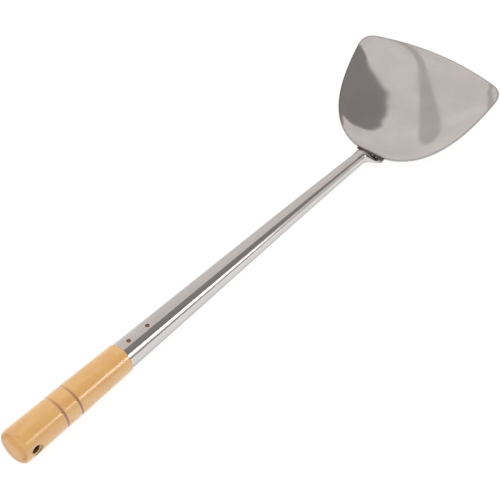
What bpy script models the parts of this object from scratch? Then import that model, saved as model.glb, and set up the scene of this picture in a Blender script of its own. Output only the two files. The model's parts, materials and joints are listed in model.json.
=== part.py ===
"""Long-handled wok spatula: a dished sheet-steel blade, a rolled tapered shaft and a turned wooden grip.

Everything is modelled about the shaft's axis: +X runs from the grip to the blade, y = 0 is the plane of
symmetry and x = 0 is where the wood meets the steel. An empty then stands the whole spatula on the floor,
resting on the heel under the blade and on the butt of the grip.
"""

import math

import bmesh
import bpy
import numpy as np
from mathutils import Vector
from mathutils.bvhtree import BVHTree

MM = 0.001
GAP = 0.3 * MM

# Blade, in its own frame: x from the back rim to the front edge, z up out of the dish.
BLADE_WIDTH = 140 * MM
BLADE_LENGTH = 105 * MM
BLADE_SHEET = 1.2 * MM
BLADE_PITCH = math.radians(39.2)
BLADE_ORIGIN = Vector((302.9 * MM, 0, -21.4 * MM))
FRONT_SAG = 9.2 * MM
BACK_FLAT = 1.5 * MM
BACK_FULLNESS = 0.94
SIDE_PULL = 0.14
SIDE_ANGLE = math.radians(74.9)
CORNER_ROUND = 12 * MM
WALL_HEIGHT = 17.6 * MM
WALL_FALL = 1.3
WALL_BULGE = 1.9 * MM
CORNER_LIFT = 1.1 * MM
DISH_FOCUS = 0.55
BOWL_DEPTH = 3.8 * MM
BOWL_CENTRE = 79.9 * MM
BOWL_RISE_ALONG = 32.8 * MM
BOWL_RISE_ACROSS = 10.85 * MM
BOWL_TAPER = 0.76
LIP_TURN = 8.9 * MM
FRONT_LIP_TURN = 12 * MM
LIP_SPREAD = (60 * MM, 95 * MM)
SHEET_EDGE_ROUND = 0.3 * MM

# Shaft: a tube rolled from sheet, its seam underneath, opening into a channel under the blade.
SHAFT_SHEET = 1.0 * MM
SHAFT_BIG_RADIUS = 10.15 * MM
SHAFT_SMALL_RADIUS = 5.6 * MM
SHAFT_TAPER_END = 270 * MM
SHAFT_DROOP = 1.15 * MM
DROOP_START = 150 * MM
SEAM_SLIT = 0.5 * MM
NECK_TRIM = (260.5 * MM, 289 * MM)
NECK_UNROLL = (275.5 * MM, 293 * MM)
NECK_DROP = (278 * MM, 295 * MM)
TONGUE_END = 308 * MM
TONGUE_TOP = -10.5 * MM
TONGUE_HALF_SHEET = 11.2 * MM
TONGUE_FLAT = 8.2 * MM
TONGUE_BEND = 3.0 * MM
TONGUE_TAB = 7.5 * MM

# Grip, turned about the shaft's axis and reaching back from x = 0.
GRIP_LENGTH = 94.9 * MM
GRIP_FRONT_RADIUS = 11.05 * MM
GRIP_MID_RADIUS = 12.0 * MM
GRIP_BUTT_RADIUS = 12.6 * MM
GRIP_BUTT_FACE = 8.0 * MM
GRIP_BUTT_ROUND = 5.5 * MM
GRIP_FRONT_ROUND = 0.8 * MM
GROOVES = (46.5 * MM, 58.8 * MM)
GROOVE_HALF_WIDTH = 1.6 * MM
GROOVE_DEPTH = 0.9 * MM
TENON_LENGTH = 42 * MM
HANG_HOLE_X = -84.8 * MM
HANG_HOLE_RADIUS = 3.0 * MM
HANG_SINK_RADIUS = 4.5 * MM
HANG_SINK_DEPTH = 1.8 * MM

# Brads through the tube's wall into the tenon.
PIN_STATIONS = {"grip_pin_front": 25.7 * MM, "grip_pin_rear": 7.9 * MM}
PIN_HOLE_RADIUS = 1.8 * MM
PIN_HEAD_RADIUS = 1.45 * MM
PIN_HEAD_HEIGHT = 0.6 * MM
PIN_SHANK_RADIUS = 0.8 * MM
PIN_LENGTH = 12 * MM
PIN_POINT = 2 * MM
PIN_SUNK = 0.35 * MM

# Weld beads.
RIM_WELD_HALF_LENGTH = 13 * MM
RIM_WELD_WIDTH = 2.4 * MM
RIM_WELD_HEIGHT = 2.0 * MM
SIDE_WELD = (295 * MM, 305 * MM)
SIDE_WELD_LEG = 1.9 * MM
RIM_WELD_LEAST = 0.4
SIDE_WELD_LEAST = 0.5

ROUND_SEGMENTS = 36
RAY_COUNT = 26
FRONT_COUNT = 13
CORNER_COUNT = 6
RING_COUNT = 12
RING_CLOSING = 1.4
SHAFT_STATIONS = 11
NECK_STATIONS = 24
BEAD_STATIONS = 13
BEAD_FACETS = 5
EDGE_FACETS = 3
BUTT_FACETS = 6
SHADING_CREASE = math.radians(35)
SHEET_CREASE = math.radians(60)

STEEL = ("brushed_steel", (0.62, 0.59, 0.57), 0.28, 1.0)
POLISHED = ("polished_steel", (0.66, 0.63, 0.61), 0.16, 1.0)
WELD = ("weld_steel", (0.24, 0.21, 0.20), 0.45, 1.0)
WOOD = ("lacquered_wood", (0.74, 0.42, 0.16), 0.35, 0.0)
BRASS = ("pin_metal", (0.35, 0.22, 0.14), 0.45, 1.0)


def clear_scene():
    """Remove whatever the file opened with."""
    for item in list(bpy.data.objects):
        bpy.data.objects.remove(item, do_unlink=True)


def material(spec):
    """Return the named Principled material, made once."""
    name, colour, roughness, metallic = spec
    found = bpy.data.materials.get(name)
    if found:
        return found
    made = bpy.data.materials.new(name)
    made.use_nodes = True
    shader = made.node_tree.nodes["Principled BSDF"]
    shader.inputs["Base Color"].default_value = (*colour, 1)
    shader.inputs["Roughness"].default_value = roughness
    shader.inputs["Metallic"].default_value = metallic
    made.diffuse_color = (*colour, 1)
    return made


def ramp(value, span):
    """Rise evenly from 0 at the span's start to 1 at its end."""
    start, end = span
    return min(max((value - start) / (end - start), 0.0), 1.0)


def ease(value, span):
    """Rise smoothly from 0 at the span's start to 1 at its end."""
    t = ramp(value, span)
    return t * t * (3 - 2 * t)


def add_object(name, bm, spec, frame):
    """Close a bmesh into a smooth-shaded object that hangs on the frame empty."""
    mesh = bpy.data.meshes.new(name)
    bmesh.ops.recalc_face_normals(bm, faces=bm.faces)
    bm.to_mesh(mesh)
    bm.free()
    mesh.shade_smooth()
    mesh.set_sharp_from_angle(angle=SHADING_CREASE)
    made = bpy.data.objects.new(name, mesh)
    made.data.materials.append(material(spec))
    made.parent = frame
    bpy.context.collection.objects.link(made)
    return made


def grid_faces(bm, rows, closed):
    """Join rows of vertices with quads; closed rows run all the way round."""
    for lower, upper in zip(rows, rows[1:]):
        count = len(lower)
        steps = count if closed else count - 1
        for i in range(steps):
            j = (i + 1) % count
            bm.faces.new((lower[i], lower[j], upper[j], upper[i]))


def lathe(profile):
    """Turn a profile of (x, radius) about the X axis; ends with a radius are flat discs."""
    bm = bmesh.new()
    angles = [2 * math.pi * i / ROUND_SEGMENTS for i in range(ROUND_SEGMENTS)]
    rows = [[bm.verts.new((x, r * math.cos(a), r * math.sin(a))) for a in angles] for x, r in profile]
    grid_faces(bm, rows, closed=True)
    bm.faces.new(rows[0])
    bm.faces.new(reversed(rows[-1]))
    return bm


def loft(rings):
    """Skin closed rings of points one after another, and cap both ends."""
    bm = bmesh.new()
    rows = [[bm.verts.new(p) for p in ring] for ring in rings]
    grid_faces(bm, rows, closed=True)
    bm.faces.new(rows[0])
    bm.faces.new(reversed(rows[-1]))
    return bm


def solidify(target, thickness):
    """Thicken a sheet evenly to both sides of its middle surface."""
    mod = target.modifiers.new("sheet", "SOLIDIFY")
    mod.thickness = thickness
    mod.offset = 0
    mod.use_even_offset = True


def cut(target, cutter):
    """Subtract a hidden cutter."""
    cutter.hide_render = True
    cutter.display_type = "WIRE"
    mod = target.modifiers.new("cut_" + cutter.name, "BOOLEAN")
    mod.operation = "DIFFERENCE"
    mod.object = cutter


# ---------------------------------------------------------------- blade


def bezier(points, count):
    """Points along a cubic Bezier curve."""
    p0, p1, p2, p3 = (np.array(p) for p in points)
    t = np.linspace(0, 1, count)[:, None]
    return (1 - t) ** 3 * p0 + 3 * (1 - t) ** 2 * t * p1 + 3 * (1 - t) * t**2 * p2 + t**3 * p3


def trim(curve, length):
    """Drop a length from a polyline's end, keeping its number of points."""
    steps = np.hypot(*np.diff(curve, axis=0).T)
    run = np.concatenate(([0], np.cumsum(steps)))
    keep = np.linspace(0, run[-1] - length, len(curve))
    return np.column_stack([np.interp(keep, run, curve[:, k]) for k in (0, 1)])


def half_outline():
    """The blade's plan on the +Y side, from the back's middle round the corner to the front's middle."""
    half = BLADE_WIDTH / 2 - BLADE_SHEET / 2
    corner = np.array((BLADE_LENGTH - FRONT_SAG, half))
    inward = np.array((math.sin(SIDE_ANGLE), math.cos(SIDE_ANGLE)))
    side = bezier(
        (
            (BACK_FLAT, 0),
            (0, BACK_FULLNESS * half),
            corner - SIDE_PULL * corner[0] * inward,
            corner,
        ),
        RAY_COUNT,
    )
    radius = (half**2 + FRONT_SAG**2) / (2 * FRONT_SAG)
    angles = np.linspace(0, math.asin(half / radius), FRONT_COUNT)
    front = np.column_stack((BLADE_LENGTH - radius + radius * np.cos(angles), radius * np.sin(angles)))
    side = trim(side, CORNER_ROUND)
    front = trim(front, CORNER_ROUND)[::-1]
    t = np.linspace(0, 1, CORNER_COUNT)[1:-1, None]
    rounded = (1 - t) ** 2 * side[-1] + 2 * (1 - t) * t * corner + t**2 * front[0]
    return np.vstack((side, rounded, front))


def rim_height(x, y):
    """Height of the blade's rim, tallest at the back and nothing at the front edge."""
    run = min(max(x / (BLADE_LENGTH - FRONT_SAG), 0.0), 1.0)
    across = 2 * y / BLADE_WIDTH
    wall = WALL_HEIGHT * (1 - run) ** WALL_FALL + 4 * WALL_BULGE * run * (1 - run)
    return float(wall + CORNER_LIFT * across**2 * run)


def bowl_height(x, y):
    """Height of the shallow bowl that the blade's bed follows, away from its turned-up rim."""
    along = (x - BOWL_CENTRE) / BLADE_LENGTH
    across = 2 * y / BLADE_WIDTH
    rise = BOWL_RISE_ACROSS * (1 - BOWL_TAPER * (x / BLADE_LENGTH - DISH_FOCUS))
    return BOWL_RISE_ALONG * along**2 + rise * across**2 - BOWL_DEPTH


def clearances(outline, focus):
    """Distance from the focus to the outline's tangent at each of its points."""
    tangent = np.roll(outline, -1, axis=0) - np.roll(outline, 1, axis=0)
    spoke = outline - focus
    return np.abs(spoke[:, 0] * tangent[:, 1] - spoke[:, 1] * tangent[:, 0]) / np.hypot(*tangent.T)


def make_blade(frame):
    """Sweep rings from the bowl's middle out to the turned-up rim, then give the sheet its thickness."""
    half = half_outline()
    mirrored = half[1:-1][::-1] * np.array((1, -1))
    outline = np.vstack((half, mirrored))
    focus = np.array((BLADE_LENGTH * DISH_FOCUS, 0))
    bm = bmesh.new()
    centre = bm.verts.new((*focus, bowl_height(*focus)))
    rows = []
    for k in range(1, RING_COUNT + 1):
        reach = 1 - (1 - k / RING_COUNT) ** RING_CLOSING
        row = []
        for edge, clearance in zip(outline, clearances(outline, focus)):
            flat = focus + reach * (edge - focus)
            turn = LIP_TURN + (FRONT_LIP_TURN - LIP_TURN) * ease(edge[0], LIP_SPREAD)
            lip = reach**2 * math.exp((reach - 1) * clearance / turn)
            height = bowl_height(*flat) + lip * (rim_height(*edge) - bowl_height(*edge))
            row.append(bm.verts.new((*flat, height)))
        rows.append(row)
    grid_faces(bm, rows, closed=True)
    for i, vertex in enumerate(rows[0]):
        bm.faces.new((centre, vertex, rows[0][(i + 1) % len(outline)]))
    blade = add_object("blade", bm, POLISHED, frame)
    blade.location = BLADE_ORIGIN
    blade.rotation_euler = (0, -BLADE_PITCH, 0)
    solidify(blade, BLADE_SHEET)
    edge = blade.modifiers.new("rim_edge", "BEVEL")
    edge.width = SHEET_EDGE_ROUND
    edge.segments = 2
    edge.limit_method = "ANGLE"
    edge.angle_limit = SHEET_CREASE
    return blade


# ---------------------------------------------------------------- shaft


def shaft_radius(x):
    """Outer radius of the tube along its taper."""
    taper = ramp(x, (0, SHAFT_TAPER_END))
    return SHAFT_BIG_RADIUS + (SHAFT_SMALL_RADIUS - SHAFT_BIG_RADIUS) * taper


def shaft_section(x):
    """Middle line of the sheet across the shaft at x, from one seam edge over the top to the other."""
    middle = shaft_radius(x) - SHAFT_SHEET / 2
    tube_top = middle - SHAFT_DROOP * ramp(x, (DROOP_START, SHAFT_TAPER_END)) ** 2
    top = tube_top + (TONGUE_TOP - tube_top) * ease(x, NECK_DROP)
    tube_half = math.pi * middle - SEAM_SLIT / 2
    half = tube_half + (TONGUE_HALF_SHEET - tube_half) * ease(x, NECK_TRIM)
    half += (TONGUE_TAB - TONGUE_HALF_SHEET) * ease(x, (NECK_UNROLL[1], TONGUE_END)) ** 2
    opened = ease(x, NECK_UNROLL)
    step = half / (ROUND_SEGMENTS // 2)
    y, z = 0.0, top
    side = []
    for i in range(ROUND_SEGMENTS // 2):
        run = (i + 0.5) * step
        rolled = run / middle
        folded = math.pi / 2 * ease(run, (TONGUE_FLAT, TONGUE_FLAT + TONGUE_BEND))
        angle = rolled + (folded - rolled) * opened
        y += step * math.cos(angle)
        z -= step * math.sin(angle)
        side.append((x, y, z))
    return [(px, -py, pz) for px, py, pz in reversed(side)] + [(x, 0.0, top)] + side


def make_shaft(frame):
    """Roll the tapered tube and drill the two pin holes through its top."""
    straight = np.linspace(0, NECK_TRIM[0], SHAFT_STATIONS)
    neck = np.linspace(NECK_TRIM[0], TONGUE_END, NECK_STATIONS)[1:]
    bm = bmesh.new()
    rows = [[bm.verts.new(p) for p in shaft_section(x)] for x in (*straight, *neck)]
    grid_faces(bm, rows, closed=False)
    shaft = add_object("shaft", bm, STEEL, frame)
    solidify(shaft, SHAFT_SHEET)
    for name, x in PIN_STATIONS.items():
        hole = drill("shaft_hole_" + name, PIN_HOLE_RADIUS, SHAFT_BIG_RADIUS, frame)
        hole.location = (x, 0, SHAFT_BIG_RADIUS)
        cut(shaft, hole)
    return shaft


def drill(name, radius, depth, frame):
    """A plain upright cutter, centred on its object's origin."""
    bm = lathe(((-depth / 2, radius), (depth / 2, radius)))
    cutter = add_object(name, bm, STEEL, frame)
    cutter.rotation_euler = (0, -math.pi / 2, 0)
    return cutter


# ---------------------------------------------------------------- grip and pins


def quarter_round(x, r, dx, dr, count):
    """Profile points of a quarter ellipse that starts at (x, r) and turns inwards to (x + dx, r + dr)."""
    turns = [math.pi / 2 * i / count for i in range(count + 1)]
    return [(x + dx * math.sin(t), r + dr * (1 - math.cos(t))) for t in turns]


def body_radius(back):
    """Radius of the grip's plain swelling at a distance back from its front shoulder."""
    stations = (0, GROOVES[0], GROOVES[1], GRIP_LENGTH)
    radii = (GRIP_FRONT_RADIUS, GRIP_MID_RADIUS, GRIP_MID_RADIUS, GRIP_BUTT_RADIUS)
    return float(np.interp(back, stations, radii))


def grip_profile():
    """Profile of tenon, shoulder, grooved body and rounded butt, from the tenon's tip backwards."""
    tenon_tip = shaft_radius(TENON_LENGTH) - SHAFT_SHEET - GAP
    tenon_root = SHAFT_BIG_RADIUS - SHAFT_SHEET - GAP
    profile = [(TENON_LENGTH, tenon_tip - MM), (TENON_LENGTH - MM, tenon_tip)]
    profile.append((-GAP, tenon_root))
    rounding = quarter_round(0, 0, GRIP_FRONT_ROUND, -GRIP_FRONT_ROUND, EDGE_FACETS)
    profile += [(-GAP - GRIP_FRONT_ROUND + dx, GRIP_FRONT_RADIUS + dr) for dx, dr in reversed(rounding)]
    for groove in GROOVES:
        for side in (-1, 0, 1):
            back = groove + side * GROOVE_HALF_WIDTH
            depth = GROOVE_DEPTH if side == 0 else 0
            profile.append((-back, body_radius(back) - depth))
    corner = GRIP_LENGTH - GRIP_BUTT_ROUND
    fall = GRIP_BUTT_FACE - body_radius(corner)
    profile += quarter_round(-corner, body_radius(corner), -GRIP_BUTT_ROUND, fall, BUTT_FACETS)
    return profile


def make_grip(frame):
    """Turn the grip, drill its pin holes and its countersunk hanging hole."""
    grip = add_object("grip", lathe(grip_profile()), WOOD, frame)
    for name, x in PIN_STATIONS.items():
        hole = drill("grip_hole_" + name, PIN_SHANK_RADIUS + GAP, 2 * PIN_LENGTH, frame)
        hole.location = (x, 0, pin_seat(x))
        cut(grip, hole)
    outside = GRIP_BUTT_RADIUS + MM
    face = body_radius(-HANG_HOLE_X)
    mouth = HANG_SINK_RADIUS + (outside - face)
    neck = face - HANG_SINK_DEPTH
    profile = ((-outside, mouth), (-neck, HANG_HOLE_RADIUS), (neck, HANG_HOLE_RADIUS), (outside, mouth))
    hang_hole = add_object("hang_hole", lathe(profile), WOOD, frame)
    hang_hole.location = (HANG_HOLE_X, 0, 0)
    hang_hole.rotation_euler = (0, 0, math.pi / 2)
    cut(grip, hang_hole)
    return grip


def pin_seat(x):
    """Height of the tenon's top under a pin's head."""
    return shaft_radius(x) - SHAFT_SHEET - GAP


def make_pins(frame):
    """Two brads with flat heads, sunk just below the tube's surface."""
    half_head = PIN_HEAD_HEIGHT / 2
    tip = (-PIN_LENGTH, PIN_SHANK_RADIUS / 2)
    point = (PIN_POINT - PIN_LENGTH, PIN_SHANK_RADIUS)
    neck = (-PIN_HEAD_HEIGHT, PIN_SHANK_RADIUS)
    under_head = (-PIN_HEAD_HEIGHT, PIN_HEAD_RADIUS)
    dome = quarter_round(-half_head, PIN_HEAD_RADIUS, half_head, -PIN_HEAD_RADIUS / 2, EDGE_FACETS)
    pins = []
    for name, x in PIN_STATIONS.items():
        pin = add_object(name, lathe((tip, point, neck, under_head, *dome)), BRASS, frame)
        pin.location = (x, 0, shaft_radius(x) - PIN_SUNK)
        pin.rotation_euler = (0, -math.pi / 2, 0)
        pins.append(pin)
    return pins


# ---------------------------------------------------------------- welds


def surface_finder(target):
    """Return a function giving the height where a vertical ray first meets the object."""
    depsgraph = bpy.context.evaluated_depsgraph_get()
    depsgraph.update()
    evaluated = target.evaluated_get(depsgraph)
    bm = bmesh.new()
    bm.from_mesh(evaluated.to_mesh())
    bm.transform(evaluated.matrix_world)
    tree = BVHTree.FromBMesh(bm)
    bm.free()

    def height(x, y, upwards):
        start = Vector((x, y, -1 if upwards else 1))
        hit = tree.ray_cast(start, Vector((0, 0, 1 if upwards else -1)))[0]
        return hit.z

    return height


def fillet_ring(corner, toe, crest):
    """A bead's section: a square corner, and a convex face from its crest down to its toe."""
    corner, toe, crest = (Vector(p) for p in (corner, toe, crest))
    ring = [corner]
    for i in range(BEAD_FACETS + 1):
        turn = math.pi / 2 * i / BEAD_FACETS
        ring.append(corner + math.cos(turn) * (crest - corner) + math.sin(turn) * (toe - corner))
    return ring


def bead_size(along, least):
    """Relative size of a bead from one end, along = -1, to the other, along = 1."""
    return least + (1 - least) * math.sqrt(max(1 - along**4, 0))


def make_rim_weld(shaft, frame):
    """Bead that fills the corner between the tongue's top and the blade's back rim."""
    on_shaft = surface_finder(shaft)
    plan = half_outline()[:RAY_COUNT]
    forward = Vector((math.cos(BLADE_PITCH), 0, math.sin(BLADE_PITCH)))
    upward = Vector((-math.sin(BLADE_PITCH), 0, math.cos(BLADE_PITCH)))
    rings = []
    for along in np.linspace(-1, 1, BEAD_STATIONS):
        y = RIM_WELD_HALF_LENGTH * along
        back = float(np.interp(abs(y), plan[:, 1], plan[:, 0]))
        rim = BLADE_ORIGIN + back * forward + rim_height(back, y) * upward
        size = bead_size(along, RIM_WELD_LEAST)
        front = rim.x - 1.5 * GAP
        rear = front - RIM_WELD_WIDTH * size
        low = on_shaft(front, 0, upwards=False) + GAP
        high = on_shaft(rear, 0, upwards=False) + GAP
        corner, toe = (front, y, low), (rear, y, high)
        crest = (front, y, low + RIM_WELD_HEIGHT * size)
        rings.append(fillet_ring(corner, toe, crest))
    return add_object("rim_weld", loft(rings), WELD, frame)


def make_side_weld(name, side, blade, frame):
    """Bead under the blade along one edge of the tongue."""
    on_blade = surface_finder(blade)
    inner = side * (TONGUE_FLAT + 2 * TONGUE_BEND / math.pi + SHAFT_SHEET / 2 + GAP)
    rings = []
    for along in np.linspace(-1, 1, BEAD_STATIONS):
        x = (SIDE_WELD[0] + SIDE_WELD[1]) / 2 + along * (SIDE_WELD[1] - SIDE_WELD[0]) / 2
        leg = SIDE_WELD_LEG * bead_size(along, SIDE_WELD_LEAST)
        outer = inner + side * leg
        under = on_blade(x, inner, upwards=True) - GAP
        corner, crest = (x, inner, under), (x, inner, under - leg)
        toe = (x, outer, on_blade(x, outer, upwards=True) - GAP)
        rings.append(fillet_ring(corner, toe, crest))
    return add_object(name, loft(rings), WELD, frame)


# ---------------------------------------------------------------- assembly


def world_points(item):
    """Evaluated vertices of an object, in world space."""
    evaluated = item.evaluated_get(bpy.context.evaluated_depsgraph_get())
    mesh = evaluated.to_mesh()
    points = np.array([evaluated.matrix_world @ v.co for v in mesh.vertices])
    evaluated.to_mesh_clear()
    return points


def stand_on_floor(frame, front, rear, pieces):
    """Tilt the spatula onto its heel and butt, and centre its box over the origin."""
    heel = world_points(front)
    butt = world_points(rear)
    tilt = 0.0
    for _ in range(10):
        spin = np.array((-math.sin(tilt), 0, math.cos(tilt)))
        low = heel[np.argmin(heel @ spin)]
        back = butt[np.argmin(butt @ spin)]
        tilt = math.atan2(low[2] - back[2], low[0] - back[0])
    frame.rotation_euler = (0, tilt, 0)
    bpy.context.view_layer.update()
    points = np.vstack([world_points(piece) for piece in pieces])
    low, high = points.min(axis=0), points.max(axis=0)
    frame.location = (-(low[0] + high[0]) / 2, -(low[1] + high[1]) / 2, -low[2])


def build():
    """Make every piece and stand the assembly on the floor."""
    clear_scene()
    frame = bpy.data.objects.new("spatula_frame", None)
    bpy.context.collection.objects.link(frame)
    blade = make_blade(frame)
    shaft = make_shaft(frame)
    grip = make_grip(frame)
    pieces = [blade, shaft, grip, *make_pins(frame)]
    pieces.append(make_rim_weld(shaft, frame))
    pieces.append(make_side_weld("tongue_weld_left", 1, blade, frame))
    pieces.append(make_side_weld("tongue_weld_right", -1, blade, frame))
    stand_on_floor(frame, shaft, grip, pieces)


build()
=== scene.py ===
"""Looks of the wok spatula: polished sheet-steel blade and tube, weld beads, brads and a lacquered grip.

Every piece is drawn in the handle's own frame, in metres: +X runs from the grip to the blade, y = 0 is the
plane of symmetry and x = 0 is where the wood meets the steel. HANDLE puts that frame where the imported
record has it.
"""
import json
import math

import bmesh
import bpy
import numpy as np
from mathutils import Matrix, Quaternion, Vector
from mathutils.bvhtree import BVHTree
from mathutils.noise import noise


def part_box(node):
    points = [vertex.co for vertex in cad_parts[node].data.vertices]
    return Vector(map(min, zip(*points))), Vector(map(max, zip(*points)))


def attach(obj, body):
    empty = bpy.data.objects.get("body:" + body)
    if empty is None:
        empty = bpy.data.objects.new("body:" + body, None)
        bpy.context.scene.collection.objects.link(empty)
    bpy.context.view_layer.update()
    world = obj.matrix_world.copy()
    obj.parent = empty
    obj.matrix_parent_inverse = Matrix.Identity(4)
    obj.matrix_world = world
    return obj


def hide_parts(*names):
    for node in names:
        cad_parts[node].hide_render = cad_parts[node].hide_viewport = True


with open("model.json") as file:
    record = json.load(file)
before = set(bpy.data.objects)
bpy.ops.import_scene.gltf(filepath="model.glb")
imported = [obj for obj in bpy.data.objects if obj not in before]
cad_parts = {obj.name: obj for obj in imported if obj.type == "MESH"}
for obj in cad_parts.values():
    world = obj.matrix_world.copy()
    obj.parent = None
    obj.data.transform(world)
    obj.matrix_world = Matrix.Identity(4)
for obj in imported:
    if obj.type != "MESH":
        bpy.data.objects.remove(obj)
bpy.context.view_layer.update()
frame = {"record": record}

MM = 0.001

# Blade, in its own frame: x from the back rim to the front edge, z up out of the dish.
BLADE_WIDTH = 140 * MM
BLADE_LENGTH = 105 * MM
BLADE_SHEET = 1.2 * MM
BLADE_PITCH = math.radians(39.2)
BLADE_ORIGIN = Vector((302.9 * MM, 0, -21.4 * MM))
FRONT_SAG = 9.2 * MM
BACK_FLAT = 1.5 * MM
BACK_FULLNESS = 0.94
SIDE_PULL = 0.14
SIDE_ANGLE = math.radians(74.9)
CORNER_ROUND = 12 * MM
WALL_HEIGHT = 17.6 * MM
WALL_FALL = 1.3
WALL_BULGE = 1.9 * MM
CORNER_LIFT = 1.1 * MM
DISH_FOCUS = 0.55
BOWL_DEPTH = 3.8 * MM
BOWL_CENTRE = 79.9 * MM
BOWL_RISE_ALONG = 32.8 * MM
BOWL_RISE_ACROSS = 10.85 * MM
BOWL_TAPER = 0.76
LIP_TURN = 8.9 * MM
FRONT_LIP_TURN = 12 * MM
LIP_SPREAD = (60 * MM, 95 * MM)

# Shaft: a tube rolled from sheet, opening into a channel under the blade.
SHAFT_SHEET = 1.0 * MM
SHAFT_BIG_RADIUS = 10.15 * MM
SHAFT_SMALL_RADIUS = 5.6 * MM
SHAFT_TAPER_END = 270 * MM
SHAFT_DROOP = 1.15 * MM
DROOP_START = 150 * MM
SEAM_SLIT = 0.12 * MM
NECK_TRIM = (260.5 * MM, 289 * MM)
NECK_UNROLL = (275.5 * MM, 293 * MM)
NECK_DROP = (278 * MM, 295 * MM)
TONGUE_END = 308 * MM
TONGUE_TOP = -10.5 * MM
TONGUE_HALF_SHEET = 11.2 * MM
TONGUE_FLAT = 8.2 * MM
TONGUE_BEND = 3.0 * MM
TONGUE_TAB = 7.5 * MM

# Grip, turned about the shaft's axis and reaching back from x = 0.
GRIP_LENGTH = 94.9 * MM
GRIP_FRONT_RADIUS = 11.05 * MM
GRIP_MID_RADIUS = 12.0 * MM
GRIP_BUTT_RADIUS = 12.6 * MM
GRIP_BUTT_FACE = 8.0 * MM
GRIP_BUTT_ROUND = 5.5 * MM
GROOVES = (46.5 * MM, 58.8 * MM)
GROOVE_HALF_WIDTH = 1.4 * MM
GROOVE_DEPTH = 0.45 * MM
TENON_LENGTH = 42 * MM
HANG_HOLE_X = -84.8 * MM
HANG_HOLE_RADIUS = 3.0 * MM
HANG_SINK_RADIUS = 4.5 * MM
HANG_SINK_DEPTH = 1.8 * MM

# Brads through the tube's wall into the tenon.
PIN_STATIONS = {"grip_pin_front": 25.7 * MM, "grip_pin_rear": 7.9 * MM}
PIN_HOLE_RADIUS = 1.65 * MM
PIN_HEAD_RADIUS = 1.5 * MM
PIN_HEAD_HEIGHT = 0.6 * MM
PIN_SHANK_RADIUS = 0.8 * MM
PIN_TIP_RADIUS = 0.4 * MM
PIN_LENGTH = 12 * MM
PIN_POINT = 2 * MM
PIN_SEGMENTS = 40
PIN_SUNK = 0.25 * MM

# Camera, about the handle frame.
CAMERA_TARGET = Vector((133.78 * MM, -1.26 * MM, 0))
CAMERA_DISTANCE = 735.87 * MM
CAMERA_AZIMUTH = math.radians(-51.46)
CAMERA_ELEVATION = math.radians(43.99)
CAMERA_ROLL = math.radians(0.84)
CAMERA_LENS = 72
CAMERA_SHIFT = 0.001

# Heat tints round the welds, the tube's one also painted shade on the tongue's flank under the blade: a
# centre in millimetres of the handle frame, and how much distance from it counts along each axis.
BLADE_HEAT = ((292.6, 0.0, -6.9), (1.0, 0.16, 1.0))
# The tube's tint reaches the tongue's flank under the blade: partly heat tint, partly painted shade.
TUBE_HEAT_AND_SHADE = ((298.0, 0.0, -12.0), (0.45, 0.16, 0.3))


def handle_matrix():
    """Where the handle frame stands in the row frame, read from the mount on the grip's butt."""
    mount = frame["record"]["mounts"][0]
    along = -Vector(mount["axis"]).normalized()
    side = Vector((0, 1, 0))
    up = along.cross(side)
    origin = Vector(mount["pos_m"]) + GRIP_LENGTH * along
    turned = Matrix((along, side, up)).transposed().to_4x4()
    return Matrix.Translation(origin) @ turned


HANDLE = handle_matrix()


# ---------------------------------------------------------------- helpers


def ramp(value, span):
    """Rise evenly from 0 at the span's start to 1 at its end."""
    start, end = span
    return min(max((value - start) / (end - start), 0.0), 1.0)


def ease(value, span):
    """Rise smoothly from 0 at the span's start to 1 at its end."""
    t = ramp(value, span)
    return t * t * (3 - 2 * t)


def grid_faces(bm, rows, closed):
    """Join rows of vertices with quads; closed rows run all the way round."""
    for lower, upper in zip(rows, rows[1:]):
        count = len(lower)
        steps = count if closed else count - 1
        for i in range(steps):
            j = (i + 1) % count
            bm.faces.new((lower[i], lower[j], upper[j], upper[i]))


def lathe(profile, segments):
    """Turn a profile of (x, radius) about the X axis; ends with a radius are flat discs."""
    bm = bmesh.new()
    angles = [2 * math.pi * i / segments for i in range(segments)]
    rows = [[bm.verts.new((x, r * math.cos(a), r * math.sin(a))) for a in angles] for x, r in profile]
    grid_faces(bm, rows, closed=True)
    bm.faces.new(rows[0])
    bm.faces.new(reversed(rows[-1]))
    return bm


def as_object(name, bm, place, sharp=40):
    """A smooth-shaded object of the bmesh, its mesh moved by a matrix."""
    bmesh.ops.recalc_face_normals(bm, faces=bm.faces)
    bm.transform(place)
    mesh = bpy.data.meshes.new(name)
    bm.to_mesh(mesh)
    bm.free()
    mesh.shade_smooth()
    mesh.set_sharp_from_angle(angle=math.radians(sharp))
    made = bpy.data.objects.new(name, mesh)
    bpy.context.scene.collection.objects.link(made)
    return made


def dress(piece, node, look):
    """Give a piece its material, hang it on the root body, and hide the CAD part it stands for."""
    if not piece.data.materials:
        piece.data.materials.append(look)
    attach(piece, "root")
    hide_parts(node)
    return piece


def cut(target, cutter):
    """Subtract a cutter from a piece for good, and drop the cutter."""
    mod = target.modifiers.new("cut", "BOOLEAN")
    mod.operation = "DIFFERENCE"
    mod.object = cutter
    bake_modifiers(target)
    bpy.data.objects.remove(cutter)


def bake_modifiers(target, sharp=40):
    """Replace a piece's mesh by what its modifiers make of it, with its sharp edges marked again."""
    depsgraph = bpy.context.evaluated_depsgraph_get()
    depsgraph.update()
    made = bpy.data.meshes.new_from_object(target.evaluated_get(depsgraph))
    target.modifiers.clear()
    target.data = made
    made.set_sharp_from_angle(angle=math.radians(sharp))


def upright(x, z):
    """A matrix that stands a shape turned about X on end, at (x, 0, z) in the handle frame."""
    return HANDLE @ Matrix.Translation((x, 0, z)) @ Matrix.Rotation(-math.pi / 2, 4, "Y")


# ---------------------------------------------------------------- node trees


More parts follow.
